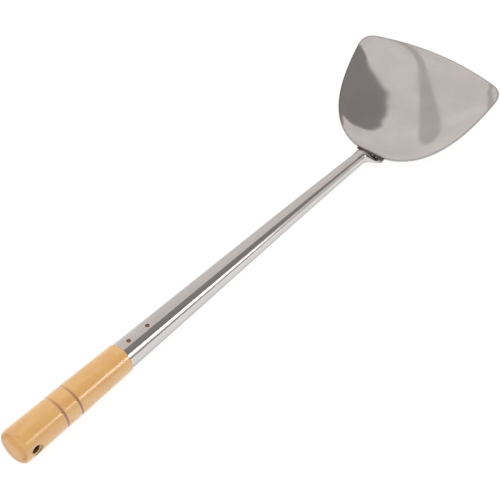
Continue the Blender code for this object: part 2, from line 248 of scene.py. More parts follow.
class Nodes:
    """Short way to write a node tree: each call makes one node and returns it."""

    def __init__(self, tree):
        self.tree = tree
        tree.nodes.clear()

    def add(self, kind, inputs=None, **settings):
        made = self.tree.nodes.new(kind)
        for key, value in settings.items():
            setattr(made, key, value)
        for socket, value in (inputs or {}).items():
            if isinstance(value, bpy.types.NodeSocket):
                self.tree.links.new(value, made.inputs[socket])
            else:
                made.inputs[socket].default_value = value
        return made

    def math(self, operation, a, b=0.0, c=0.0):
        return self.add("ShaderNodeMath", {0: a, 1: b, 2: c}, operation=operation).outputs[0]

    def span(self, value, low, high, to_low=0.0, to_high=1.0):
        """Map low..high smoothly onto to_low..to_high, held at both ends."""
        made = self.add("ShaderNodeMapRange", {0: value, 1: low, 2: high, 3: to_low, 4: to_high})
        made.interpolation_type = "SMOOTHSTEP"
        return made.outputs[0]

    def mix(self, factor, a, b, blend="MIX"):
        made = self.add("ShaderNodeMix", data_type="RGBA", blend_type=blend)
        for socket, value in ((0, factor), (6, a), (7, b)):
            if isinstance(value, bpy.types.NodeSocket):
                self.tree.links.new(value, made.inputs[socket])
            else:
                made.inputs[socket].default_value = value
        return made.outputs[2]

    def noise(self, vector, scale, detail=3.0, roughness=0.5):
        made = self.add("ShaderNodeTexNoise", {"Vector": vector, "Scale": scale, "Detail": detail})
        made.inputs["Roughness"].default_value = roughness
        return made.outputs["Fac"]

    def squares(self, a, b):
        """Sum of two squares."""
        return self.math("ADD", self.math("MULTIPLY", a, a), self.math("MULTIPLY", b, b))

    def hypot(self, a, b):
        return self.math("SQRT", self.squares(a, b))


def handle_coordinates(nodes):
    """The shading point in the handle frame, in millimetres, as a vector and its three parts."""
    place = nodes.add("ShaderNodeTexCoord").outputs["Object"]
    local = nodes.add("ShaderNodeMapping", {"Vector": place}, vector_type="TEXTURE")
    local.inputs["Location"].default_value = HANDLE.translation
    local.inputs["Rotation"].default_value = HANDLE.to_euler()
    local.inputs["Scale"].default_value = (MM, MM, MM)
    parts = nodes.add("ShaderNodeSeparateXYZ", {0: local.outputs[0]})
    return local.outputs[0], parts.outputs


def stretched(nodes, vector, scale):
    """The vector with its parts scaled, for grain and brushing."""
    return nodes.add("ShaderNodeVectorMath", {0: vector, 1: scale}, operation="MULTIPLY").outputs[0]


def start_material(name):
    """An empty node material with its tree."""
    look = bpy.data.materials.new(name)
    look.use_nodes = True
    return look, Nodes(look.node_tree)


def finish_material(nodes, shader):
    """Send a shader to the material's output."""
    nodes.add("ShaderNodeOutputMaterial", {"Surface": shader.outputs[0]})


def relief(nodes, height, depth, strength):
    """The normals of a height pattern that is depth metres deep."""
    made = nodes.add("ShaderNodeBump", {"Height": height, "Distance": depth, "Strength": strength})
    return made.outputs[0]


def metal_shader(nodes, colour, rough, normal, metallic=1.0):
    """A Principled shader for bare metal."""
    inputs = {"Base Color": colour, "Roughness": rough, "Metallic": metallic, "Normal": normal}
    return nodes.add("ShaderNodeBsdfPrincipled", inputs)


STEEL_TINT = (0.675, 0.65, 0.64, 1)
STEEL_SHADE = (0.645, 0.62, 0.61, 1)
STEEL_EDGE_TINT = (0.66, 0.66, 0.66, 1)
LINE_DIMMING = (0.93, 0.93, 0.93, 1)
STRAW = (0.50, 0.43, 0.38, 1)
# Burnt weld tint; on the tube it also serves as painted shade.
BURNT_STEEL_AND_SHADE = (0.13, 0.11, 0.11, 1)
PIN_STAIN = (0.80, 0.67, 0.57, 1)
SHEARED_DARK = (0.42, 0.40, 0.39, 1)
SHEARED_LIGHT = (0.54, 0.52, 0.505, 1)
SCALE_BLACK = (0.045, 0.038, 0.036, 1)
SCALE_GREY = (0.16, 0.135, 0.125, 1)
BARE_CREST = (0.62, 0.57, 0.54, 1)
BRAD_DARK = (0.13, 0.085, 0.055, 1)
BRAD_LIGHT = (0.34, 0.25, 0.18, 1)

# How rough each steel is polished, the scale of its fine lines and their depth in metres.
BLADE_POLISH = (0.06, (0.25, 5.0, 0.25), 0.000001)
TUBE_POLISH = (0.10, (0.1, 4.0, 4.0), 0.00001)

# Heat reaches this far from the weld, in millimetres: fully burnt, and no longer tinted.
BURNT_AND_SHADE_REACH = (2.7, 4.3)
STRAW_REACH = (3.4, 7.5)
PIN_STAIN_SQUARES = (4.0, 7.5)


def weld_heat_and_shade(nodes, point, colour, centre, squeeze):
    """Straw and then burnt tint towards the rim weld, and the burnt tint's mask; on the tube the burnt
    tint also paints shade on the tongue's flank.
    """
    away = nodes.add("ShaderNodeVectorMath", {0: point, 1: centre}, operation="SUBTRACT")
    squeezed = stretched(nodes, away.outputs[0], squeeze)
    reach = nodes.add("ShaderNodeVectorMath", {0: squeezed}, operation="LENGTH").outputs["Value"]
    ragged = nodes.math("ADD", reach, nodes.math("MULTIPLY", nodes.noise(point, 0.6), 1.6))
    burnt_and_shade = nodes.span(ragged, *BURNT_AND_SHADE_REACH, 0.9, 0.0)
    straw = nodes.span(ragged, *STRAW_REACH, 0.35, 0.0)
    colour = nodes.mix(straw, colour, STRAW)
    return nodes.mix(burnt_and_shade, colour, BURNT_STEEL_AND_SHADE), burnt_and_shade


def pin_stains(nodes, colour, x, y, z):
    """Browned metal round the two brads, on the tube's top side."""
    for pin in PIN_STATIONS.values():
        squares = nodes.squares(nodes.math("SUBTRACT", x, pin / MM), y)
        near = nodes.span(squares, *PIN_STAIN_SQUARES, 0.8, 0.0)
        stain = nodes.math("MULTIPLY", near, nodes.math("GREATER_THAN", z, 0.0))
        colour = nodes.mix(stain, colour, PIN_STAIN)
    return colour


def steel(name, polish, heat_and_shade):
    """Polished stainless steel: cloudy polish, fine lines, and a burnt tint along the rim weld, which on
    the tube also paints shade on the tongue's flank under the blade.
    """
    roughness, line_scale, line_depth = polish
    look, nodes = start_material(name)
    point, (x, y, z) = handle_coordinates(nodes)
    cloud = nodes.noise(point, 0.045, 2.0)
    lines = nodes.noise(stretched(nodes, point, line_scale), 1.0, 3.0, 0.6)
    ticks = nodes.noise(stretched(nodes, point, (2.2, 0.25, 0.25)), 1.0, 2.0)
    colour = nodes.mix(nodes.span(cloud, 0.3, 0.7), STEEL_TINT, STEEL_SHADE)
    colour = pin_stains(nodes, colour, x, y, z)
    dimmed = nodes.mix(1.0, colour, LINE_DIMMING, "MULTIPLY")
    colour = nodes.mix(nodes.span(ticks, 0.55, 0.8), colour, dimmed)
    colour = nodes.mix(nodes.span(lines, 0.35, 0.65, 0.0, 0.6), colour, dimmed)
    # Burnt tint at the weld, which on the tube also paints shade under the blade.
    colour, burnt_and_shade = weld_heat_and_shade(nodes, point, colour, *heat_and_shade)
    rough = nodes.span(cloud, 0.3, 0.7, roughness - 0.02, roughness + 0.03)
    rough = nodes.math("ADD", rough, nodes.math("MULTIPLY", burnt_and_shade, 0.15))
    shader = metal_shader(nodes, colour, rough, relief(nodes, lines, line_depth, 1.0))
    shader.inputs["Specular Tint"].default_value = STEEL_EDGE_TINT
    finish_material(nodes, shader)
    return look


def edge_steel():
    """The sheet's sheared edge: greyer and rougher than its faces."""
    look, nodes = start_material("sheared_edge_steel")
    point, _ = handle_coordinates(nodes)
    streaks = nodes.noise(point, 1.5, 3.0)
    colour = nodes.mix(nodes.span(streaks, 0.3, 0.7), SHEARED_DARK, SHEARED_LIGHT)
    colour, _ = weld_heat_and_shade(nodes, point, colour, *BLADE_HEAT)
    finish_material(nodes, metal_shader(nodes, colour, 0.25, relief(nodes, streaks, 0.00005, 0.5)))
    return look


def weld_steel():
    """Heat-blackened bead with bare bright crests."""
    look, nodes = start_material("weld_bead_steel")
    point, _ = handle_coordinates(nodes)
    blotch = nodes.noise(point, 0.9, 4.0, 0.6)
    colour = nodes.mix(nodes.span(blotch, 0.35, 0.7), SCALE_BLACK, SCALE_GREY)
    crests = nodes.span(nodes.noise(point, 0.55, 2.0), 0.62, 0.70)
    colour = nodes.mix(crests, colour, BARE_CREST)
    rough = nodes.span(blotch, 0.3, 0.7, 0.5, 0.3)
    finish_material(nodes, metal_shader(nodes, colour, rough, relief(nodes, blotch, 0.0001, 0.8)))
    return look


def pin_metal():
    """Dull browned brad heads."""
    look, nodes = start_material("browned_brad")
    point, _ = handle_coordinates(nodes)
    blotch = nodes.noise(point, 1.6, 3.0)
    colour = nodes.mix(nodes.span(blotch, 0.35, 0.65), BRAD_DARK, BRAD_LIGHT)
    finish_material(nodes, metal_shader(nodes, colour, 0.45, relief(nodes, blotch, 0.0001, 0.6), 0.85))
    return look


WOOD_LIGHT = (0.70, 0.405, 0.118, 1)
WOOD_DARK = (0.675, 0.355, 0.10, 1)
GRAIN_BROWN = (0.56, 0.26, 0.08, 1)
FLECK_BROWN = (0.50, 0.24, 0.09, 1)
BURNT_GROOVE = (0.33, 0.11, 0.035, 1)
# A darker reddish line round the front shoulder, where the wood meets the steel.
SHOULDER_LINE_DARK = (0.50, 0.15, 0.035, 1)
# Painted shade: a darker copy of the wood for the butt.
BUTT_PAINTED_SHADE = (0.68, 0.36, 0.12, 1)
BUTT_LINE = (0.42, 0.15, 0.05, 1)
# Pale painted reflection on the butt's lower side, streaked like end grain.
PAINTED_REFLECTION_LIGHT = (0.80, 0.66, 0.56, 1)
PAINTED_REFLECTION_DARK = (0.66, 0.50, 0.40, 1)
SINK_SHADOW = (0.22, 0.14, 0.05, 1)
# Painted highlight on one side of the countersink, painted shade in the bore.
SINK_HIGHLIGHT = (0.88, 0.64, 0.46, 1)
BORE_SHADE = (0.05, 0.018, 0.008, 1)

# Marks on the grip, in millimetres of the handle frame.
GROOVE_BURN = (0.5, 1.25)
# Painted shade: the grooves' burn is full on the -Y side and fades towards +Y.
GROOVE_SHADE_SIDES = (-10.5, 7.0)
BUTT_FADE = (1.5, 4.0)
# The crescent that bounds the butt's pale painted reflection and carries its brown line.
CRESCENT_DIRECTION = (0.54, -0.84)
CRESCENT_OFFSET = 4.0
CRESCENT_RADIUS = 9.4

# How much lacquer lies on the grip and on its butt.
LACQUERED = 1.0
OILED = 0.15
LACQUER_ROUGHNESS = 0.17
LACQUER_IOR = 1.85
GRAIN_DEPTH = 0.00002


def burnt_lines(nodes, colour, x, y):
    """The two burnt grooves with painted shade, full on the -Y side and fading towards +Y, and the dark
    line at the front shoulder.
    """
    # Painted shade across the grooves, full at -Y and fainter at +Y.
    groove_side_shade = nodes.span(y, *GROOVE_SHADE_SIDES, 1.0, 0.3)
    burn = 0.0
    for groove in GROOVES:
        off = nodes.math("ABSOLUTE", nodes.math("ADD", x, groove / MM))
        burn = nodes.math("MAXIMUM", burn, nodes.span(off, *GROOVE_BURN, 1.0, 0.0))
    colour = nodes.mix(nodes.math("MULTIPLY", burn, groove_side_shade), colour, BURNT_GROOVE)
    shoulder = nodes.math("MULTIPLY", nodes.span(x, -1.3, -0.5), nodes.span(x, 0.0, 0.2, 1.0, 0.0))
    return nodes.mix(nodes.math("MULTIPLY", shoulder, 0.55), colour, SHOULDER_LINE_DARK)


def butt_marks(nodes, colour, point, x, y, z):
    """Butt marks: painted shade that darkens the butt, a brown line along a crescent, and outside it on
    the butt's lower side a pale painted reflection with an end-grain pattern.
    """
    end = -GRIP_LENGTH / MM
    at_butt = nodes.span(x, end + BUTT_FADE[0], end + BUTT_FADE[1], 1.0, 0.0)
    # Painted shade darkens the butt towards its end.
    colour = nodes.mix(nodes.math("MULTIPLY", at_butt, 0.6), colour, BUTT_PAINTED_SHADE)
    down, across = CRESCENT_DIRECTION
    low = nodes.math("ADD", nodes.math("MULTIPLY", y, down), nodes.math("MULTIPLY", z, across))
    beside = nodes.math("ADD", nodes.math("MULTIPLY", y, -across), nodes.math("MULTIPLY", z, down))
    crescent = nodes.hypot(nodes.math("ADD", low, CRESCENT_OFFSET), beside)
    line = nodes.math("ABSOLUTE", nodes.math("SUBTRACT", crescent, CRESCENT_RADIUS))
    line = nodes.math("MULTIPLY", nodes.span(line, 0.3, 1.5, 0.35, 0.0), at_butt)
    colour = nodes.mix(line, colour, BUTT_LINE)
    end_grain = nodes.noise(stretched(nodes, point, (0.2, 2.2, 2.2)), 1.0, 4.0)
    # Pale painted reflection, in end-grain streaks, outside the crescent on the butt's lower side.
    reflection_colour = nodes.mix(nodes.span(end_grain, 0.3, 0.7), PAINTED_REFLECTION_LIGHT, PAINTED_REFLECTION_DARK)
    lower = nodes.math("MULTIPLY", at_butt, nodes.math("GREATER_THAN", low, 1.0))
    painted_reflection = nodes.span(crescent, CRESCENT_RADIUS + 0.2, CRESCENT_RADIUS + 1.4, 0.0, 0.85)
    return nodes.mix(nodes.math("MULTIPLY", painted_reflection, lower), colour, reflection_colour)


def hole_marks(nodes, colour, x, y, z):
    """The hanging hole: painted shade on one side of its countersink, a painted highlight on the other,
    and painted shade in the bore, darkest deepest in.
    """
    along = nodes.math("SUBTRACT", x, HANG_HOLE_X / MM)
    bore = nodes.hypot(along, z)
    diagonal = nodes.math("SUBTRACT", along, z)
    ring = nodes.math("MULTIPLY", nodes.span(bore, 3.3, 3.8), nodes.span(bore, 4.6, 5.1, 1.0, 0.0))
    ring = nodes.math("MULTIPLY", ring, nodes.span(diagonal, 1.0, 4.0, 0.0, 0.85))
    colour = nodes.mix(ring, colour, SINK_SHADOW)
    # Painted highlight on the countersink's other side.
    sink_highlight = nodes.math("MULTIPLY", nodes.span(bore, 2.8, 3.1), nodes.span(bore, 4.3, 4.7, 1.0, 0.0))
    sink_highlight = nodes.math("MULTIPLY", sink_highlight, nodes.span(diagonal, -1.0, 1.0, 0.8, 0.0))
    colour = nodes.mix(sink_highlight, colour, SINK_HIGHLIGHT)
    # Painted shade in the bore, darker deeper in.
    depth = nodes.span(nodes.math("ABSOLUTE", y), 7.5, 10.0, 0.97, 0.65)
    bore_shade = nodes.math("MULTIPLY", nodes.span(bore, 3.0, 3.2, 1.0, 0.0), depth)
    return nodes.mix(bore_shade, colour, BORE_SHADE)


def lacquered_wood(name, coat):
    """Honey-coloured turned hardwood: soft mottling, long grain, burnt grooves and pale end grain."""
    look, nodes = start_material(name)
    point, (x, y, z) = handle_coordinates(nodes)
    mottle = nodes.noise(stretched(nodes, point, (0.06, 0.14, 0.14)), 1.0, 3.0)
    grain = nodes.noise(stretched(nodes, point, (0.05, 1.0, 1.0)), 1.0, 5.0, 0.6)
    fleck = nodes.noise(stretched(nodes, point, (0.3, 3.0, 3.0)), 1.0, 2.0)
    colour = nodes.mix(nodes.span(mottle, 0.35, 0.65), WOOD_LIGHT, WOOD_DARK)
    colour = nodes.mix(nodes.span(grain, 0.45, 0.8, 0.0, 0.22), colour, GRAIN_BROWN)
    colour = nodes.mix(nodes.span(fleck, 0.6, 0.8, 0.0, 0.2), colour, FLECK_BROWN)
    colour = burnt_lines(nodes, colour, x, y)
    colour = butt_marks(nodes, colour, point, x, y, z)
    colour = hole_marks(nodes, colour, x, y, z)
    height = nodes.math("ADD", nodes.math("MULTIPLY", grain, 0.5), nodes.math("MULTIPLY", fleck, 0.5))
    shader = nodes.add(
        "ShaderNodeBsdfPrincipled",
        {
            "Base Color": colour,
            "Roughness": nodes.span(mottle, 0.3, 0.7, 0.40, 0.50),
            "Normal": relief(nodes, height, GRAIN_DEPTH, 0.5),
            "Coat Weight": coat,
            "Coat Roughness": LACQUER_ROUGHNESS,
            "Coat IOR": LACQUER_IOR,
        },
    )
    finish_material(nodes, shader)
    return look


# ---------------------------------------------------------------- blade

SIDE_COUNT = 90
FRONT_COUNT = 40
CORNER_COUNT = 16
RING_COUNT = 60
EDGE_RINGS = 3
EDGE_ROUND = 0.3 * MM
RING_CLOSING = 1.4


def bezier(points, count):
    """Points along a cubic Bezier curve."""
    p0, p1, p2, p3 = (np.array(p) for p in points)
    t = np.linspace(0, 1, count)[:, None]
    return (1 - t) ** 3 * p0 + 3 * (1 - t) ** 2 * t * p1 + 3 * (1 - t) * t**2 * p2 + t**3 * p3


def trim(curve, length):
    """Drop a length from a polyline's end, keeping its number of points."""
    steps = np.hypot(*np.diff(curve, axis=0).T)
    run = np.concatenate(([0], np.cumsum(steps)))
    keep = np.linspace(0, run[-1] - length, len(curve))
    return np.column_stack([np.interp(keep, run, curve[:, k]) for k in (0, 1)])


def half_outline():
    """The blade's plan on the +Y side, from the back's middle round the corner to the front's middle."""
    half = BLADE_WIDTH / 2 - BLADE_SHEET / 2
    corner = np.array((BLADE_LENGTH - FRONT_SAG, half))
    inward = np.array((math.sin(SIDE_ANGLE), math.cos(SIDE_ANGLE)))
    pulled = corner - SIDE_PULL * corner[0] * inward
    side = bezier(((BACK_FLAT, 0), (0, BACK_FULLNESS * half), pulled, corner), SIDE_COUNT)
    radius = (half**2 + FRONT_SAG**2) / (2 * FRONT_SAG)
    angles = np.linspace(0, math.asin(half / radius), FRONT_COUNT)
    front = np.column_stack((BLADE_LENGTH - radius + radius * np.cos(angles), radius * np.sin(angles)))
    side = trim(side, CORNER_ROUND)
    front = trim(front, CORNER_ROUND)[::-1]
    t = np.linspace(0, 1, CORNER_COUNT)[1:-1, None]
    rounded = (1 - t) ** 2 * side[-1] + 2 * (1 - t) * t * corner + t**2 * front[0]
    return np.vstack((side, rounded, front))


def rim_height(x, y):
    """Height of the blade's rim, tallest at the back and nothing at the front edge."""
    run = min(max(x / (BLADE_LENGTH - FRONT_SAG), 0.0), 1.0)
    across = 2 * y / BLADE_WIDTH
    wall = WALL_HEIGHT * (1 - run) ** WALL_FALL + 4 * WALL_BULGE * run * (1 - run)
    return float(wall + CORNER_LIFT * across**2 * run)


def bowl_height(x, y):
    """Height of the shallow bowl that the blade's bed follows, away from its turned-up rim."""
    along = (x - BOWL_CENTRE) / BLADE_LENGTH
    across = 2 * y / BLADE_WIDTH
    rise = BOWL_RISE_ACROSS * (1 - BOWL_TAPER * (x / BLADE_LENGTH - DISH_FOCUS))
    return BOWL_RISE_ALONG * along**2 + rise * across**2 - BOWL_DEPTH


def clearances(outline, focus):
    """Distance from the focus to the outline's tangent at each of its points."""
    tangent = np.roll(outline, -1, axis=0) - np.roll(outline, 1, axis=0)
    spoke = outline - focus
    return np.abs(spoke[:, 0] * tangent[:, 1] - spoke[:, 1] * tangent[:, 0]) / np.hypot(*tangent.T)


def make_blade(look, edge_look):
    """The dished sheet, finer than the CAD one, with rounded, duller edges."""
    half = half_outline()
    mirrored = half[1:-1][::-1] * np.array((1, -1))
    outline = np.vstack((half, mirrored))
    focus = np.array((BLADE_LENGTH * DISH_FOCUS, 0))
    bm = bmesh.new()
    centre = bm.verts.new((*focus, bowl_height(*focus)))
    rows = []
    for k in range(1, RING_COUNT + 1):
        reach = 1 - (1 - k / RING_COUNT) ** RING_CLOSING
        row = []
        for edge, clearance in zip(outline, clearances(outline, focus)):
            flat = focus + reach * (edge - focus)
            turn = LIP_TURN + (FRONT_LIP_TURN - LIP_TURN) * ease(edge[0], LIP_SPREAD)
            lip = reach**2 * math.exp((reach - 1) * clearance / turn)
            height = bowl_height(*flat) + lip * (rim_height(*edge) - bowl_height(*edge))
            row.append(bm.verts.new((*flat, height)))
        rows.append(row)
    grid_faces(bm, rows, closed=True)
    for i, vertex in enumerate(rows[0]):
        bm.faces.new((centre, vertex, rows[0][(i + 1) % len(outline)]))
    outer = {vertex for row in rows[-1 - EDGE_RINGS:] for vertex in row}
    for face in bm.faces:
        face.material_index = int(outer.issuperset(face.verts))
    place = HANDLE @ Matrix.Translation(BLADE_ORIGIN) @ Matrix.Rotation(-BLADE_PITCH, 4, "Y")
    piece = as_object("blade_sheet", bm, place)
    piece.data.materials.append(look)
    piece.data.materials.append(edge_look)
    sheet = piece.modifiers.new("sheet", "SOLIDIFY")
    sheet.material_offset_rim = 1
    sheet.thickness = BLADE_SHEET
    sheet.offset = 0
    sheet.use_even_offset = True
    edge = piece.modifiers.new("rim_edge", "BEVEL")
    edge.width = EDGE_ROUND
    edge.segments = 3
    edge.limit_method = "ANGLE"
    edge.angle_limit = math.radians(60)
    bake_modifiers(piece)
    return dress(piece, "blade", look)


# ---------------------------------------------------------------- shaft

SHAFT_HALF_SEGMENTS = 48
TUBE_STATIONS = 80
NECK_STATIONS = 70
MOUTH_LIP = 0.5 * MM


def shaft_radius(x):
    """Outer radius of the tube along its taper."""
    taper = ramp(x, (0, SHAFT_TAPER_END))
    return SHAFT_BIG_RADIUS + (SHAFT_SMALL_RADIUS - SHAFT_BIG_RADIUS) * taper


def shaft_section(x):
    """Middle line of the sheet across the shaft at x, from one seam edge over the top to the other."""
    middle = shaft_radius(x) - SHAFT_SHEET / 2
    tube_top = middle - SHAFT_DROOP * ramp(x, (DROOP_START, SHAFT_TAPER_END)) ** 2
    top = tube_top + (TONGUE_TOP - tube_top) * ease(x, NECK_DROP)
    tube_half = math.pi * middle - SEAM_SLIT / 2
    half = tube_half + (TONGUE_HALF_SHEET - tube_half) * ease(x, NECK_TRIM)
    half += (TONGUE_TAB - TONGUE_HALF_SHEET) * ease(x, (NECK_UNROLL[1], TONGUE_END)) ** 2
    opened = ease(x, NECK_UNROLL)
    step = half / SHAFT_HALF_SEGMENTS
    y, z = 0.0, top
    side = []
    for i in range(SHAFT_HALF_SEGMENTS):
        run = (i + 0.5) * step
        rolled = run / middle
        folded = math.pi / 2 * ease(run, (TONGUE_FLAT, TONGUE_FLAT + TONGUE_BEND))
        angle = rolled + (folded - rolled) * opened
        y += step * math.cos(angle)
        z -= step * math.sin(angle)
        side.append((x, y, z))
    return [(px, -py, pz) for px, py, pz in reversed(side)] + [(x, 0.0, top)] + side


def make_shaft(look):
    """The rolled tube and its channel tongue, with the two brad holes."""
    mouth = np.linspace(0, MOUTH_LIP, 3)[:-1]
    tube = np.linspace(MOUTH_LIP, NECK_TRIM[0], TUBE_STATIONS)
    neck = np.linspace(NECK_TRIM[0], TONGUE_END, NECK_STATIONS)[1:]
    bm = bmesh.new()
    rows = [[bm.verts.new(p) for p in shaft_section(float(x))] for x in (*mouth, *tube, *neck)]
    grid_faces(bm, rows, closed=False)
    piece = as_object("shaft_tube", bm, HANDLE)
    sheet = piece.modifiers.new("sheet", "SOLIDIFY")
    sheet.thickness = SHAFT_SHEET
    sheet.offset = 0
    sheet.use_even_offset = True
    bake_modifiers(piece)
    for x in PIN_STATIONS.values():
        profile = ((-SHAFT_BIG_RADIUS / 2, PIN_HOLE_RADIUS), (SHAFT_BIG_RADIUS / 2, PIN_HOLE_RADIUS))
        drill = as_object("drill", lathe(profile, PIN_SEGMENTS), upright(x, SHAFT_BIG_RADIUS))
        cut(piece, drill)
    return dress(piece, "shaft", look)


# ---------------------------------------------------------------- grip and pins

GRIP_SEGMENTS = 112
BUTT_FINISH = 2.2 * MM
GRIP_FRONT_ROUND = 0.8 * MM
TENON_GAP = 0.3 * MM
SHOULDER_STEP = 0.05 * MM
DRILL_SEGMENTS = 64


def body_radius(back):
    """Radius of the grip's plain swelling at a distance back from its front shoulder."""
    stations = (0, GROOVES[0], GROOVES[1], GRIP_LENGTH)
    radii = (GRIP_FRONT_RADIUS, GRIP_MID_RADIUS, GRIP_MID_RADIUS, GRIP_BUTT_RADIUS)
    return float(np.interp(back, stations, radii))


def grip_radius(back):
    """Radius with the turned grooves, the soft shoulder and the rounded butt."""
    radius = body_radius(back)
    for groove in GROOVES:
        off = abs(back - groove) / GROOVE_HALF_WIDTH
        radius -= GROOVE_DEPTH * max(1 - off, 0) ** 1.3
    if back < GRIP_FRONT_ROUND:
        radius -= GRIP_FRONT_ROUND * (1 - math.sqrt(1 - (1 - back / GRIP_FRONT_ROUND) ** 2))
    into = ramp(back, (GRIP_LENGTH - GRIP_BUTT_ROUND, GRIP_LENGTH))
    radius -= (GRIP_BUTT_RADIUS - GRIP_BUTT_FACE) * (1 - math.sqrt(1 - into**2))
    return radius


def grip_stations():
    """Distances back from the shoulder, close together where the profile turns."""
    even = np.linspace(0, GRIP_LENGTH - GRIP_BUTT_ROUND, 60)
    front = np.linspace(0, GRIP_FRONT_ROUND, 8)
    butt = GRIP_LENGTH - GRIP_BUTT_ROUND * (1 - np.sin(np.linspace(0, math.pi / 2, 22)))
    cuts = [groove + np.linspace(-1.1, 1.1, 17) * GROOVE_HALF_WIDTH for groove in GROOVES]
    return np.unique(np.round(np.concatenate([even, front, butt, *cuts]), 6))


def make_grip(look, end_look):
    """The turned grip with its countersunk hanging hole; its tenon fills the tube's mouth."""
    root = SHAFT_BIG_RADIUS - SHAFT_SHEET - TENON_GAP
    tip = shaft_radius(TENON_LENGTH) - SHAFT_SHEET - TENON_GAP
    profile = [(TENON_LENGTH, tip - MM), (TENON_LENGTH - MM, tip), (-SHOULDER_STEP, root)]
    profile += [(-SHOULDER_STEP - float(back), grip_radius(float(back))) for back in grip_stations()[:-1]]
    profile.append((-GRIP_LENGTH, GRIP_BUTT_FACE))
    piece = as_object("turned_grip", lathe(profile, GRIP_SEGMENTS), HANDLE)
    piece.data.materials.append(look)
    piece.data.materials.append(end_look)
    butt_line = (HANDLE @ Vector((BUTT_FINISH - GRIP_LENGTH, 0, 0))).x
    for face in piece.data.polygons:
        face.material_index = int(face.center.x < butt_line)
    outside = GRIP_BUTT_RADIUS + MM
    face = body_radius(-HANG_HOLE_X)
    neck = face - HANG_SINK_DEPTH
    mouth = HANG_SINK_RADIUS + (outside - face)
    hole = ((-outside, mouth), (-neck, HANG_HOLE_RADIUS), (neck, HANG_HOLE_RADIUS), (outside, mouth))
    sideways = Matrix.Translation((HANG_HOLE_X, 0, 0)) @ Matrix.Rotation(math.pi / 2, 4, "Z")
    cut(piece, as_object("drill", lathe(hole, DRILL_SEGMENTS), HANDLE @ sideways))
    return dress(piece, "grip", look)


def make_pins(look):
    """Two domed brads, sunk in their holes."""
    for name, x in PIN_STATIONS.items():
        turns = np.linspace(0, math.pi / 2, 10)[:-1]
        dome = [(PIN_HEAD_HEIGHT / 2 * math.sin(t), PIN_HEAD_RADIUS * math.cos(t)) for t in turns]
        profile = [(-PIN_LENGTH, PIN_TIP_RADIUS), (PIN_POINT - PIN_LENGTH, PIN_SHANK_RADIUS)]
        profile += [(-PIN_HEAD_HEIGHT, PIN_SHANK_RADIUS), (-PIN_HEAD_HEIGHT, PIN_HEAD_RADIUS), *dome]
        place = upright(x, shaft_radius(x) - PIN_SUNK - PIN_HEAD_HEIGHT / 2)
        piece = as_object(name + "_brad", lathe(profile, PIN_SEGMENTS), place)
        dress(piece, name, look)


# ---------------------------------------------------------------- welds

BEAD_SEGMENTS = 20
BEAD_ROUGHNESS = 0.14
BEAD_GRAIN = 900

RIM_WELD_HALF_LENGTH = 13 * MM
RIM_WELD_STATIONS = 110
RIM_WELD_BACK = 0.9 * MM
RIM_WELD_DOWN = 0.3 * MM
RIM_WELD_END_RADIUS = 0.35
RIM_WELD_SWELL = 0.95
RIM_WELD_PUDDLES = 9

SIDE_WELD_STATIONS = 60
SIDE_WELD_REACH = 0.95
SIDE_WELD_OUT = 0.5 * MM
SIDE_WELD_DOWN = 0.45 * MM
SIDE_WELD_END_RADIUS = 0.4
SIDE_WELD_SWELL = 0.5
SIDE_WELD_RIPPLES = 30


def bead(name, path, radii, node, look):
    """A rippled bead: round sections along a path, each swelling and pinching with the puddles."""
    bm = bmesh.new()
    rows = []
    count = len(path)
    for i, (centre, radius) in enumerate(zip(path, radii)):
        ahead = path[min(i + 1, count - 1)] - path[max(i - 1, 0)]
        side = ahead.cross(Vector((0, 0, 1))).normalized()
        over = side.cross(ahead).normalized()
        row = []
        for k in range(BEAD_SEGMENTS):
            turn = 2 * math.pi * k / BEAD_SEGMENTS
            out = side * math.cos(turn) + over * math.sin(turn)
            rough = 1 + BEAD_ROUGHNESS * noise(BEAD_GRAIN * (centre + out * radius))
            row.append(bm.verts.new(centre + radius * rough * out))
        rows.append(row)
    grid_faces(bm, rows, closed=True)
    bm.faces.new(rows[0])
    bm.faces.new(reversed(rows[-1]))
    piece = as_object(name, bm, HANDLE, 60)
    return dress(piece, node, look)


def make_rim_bead(look):
    """The bead along the blade's back rim."""
    half = half_outline()[:SIDE_COUNT]
    forward = Vector((math.cos(BLADE_PITCH), 0, math.sin(BLADE_PITCH)))
    upward = Vector((-math.sin(BLADE_PITCH), 0, math.cos(BLADE_PITCH)))
    path, radii = [], []
    for along in np.linspace(-1, 1, RIM_WELD_STATIONS):
        y = RIM_WELD_HALF_LENGTH * along
        back = float(np.interp(abs(y), half[:, 1], half[:, 0]))
        rim = BLADE_ORIGIN + back * forward + rim_height(back, y) * upward
        path.append(Vector((rim.x - RIM_WELD_BACK, y, rim.z - RIM_WELD_DOWN)))
        ripple = abs(math.sin(RIM_WELD_PUDDLES * math.pi * along)) ** 0.5
        thick = RIM_WELD_END_RADIUS + RIM_WELD_SWELL * math.sqrt(max(1 - along**2, 0))
        radii.append(thick * (0.92 + 0.16 * ripple) * MM)
    bead("rim_weld_bead", path, radii, "rim_weld", look)


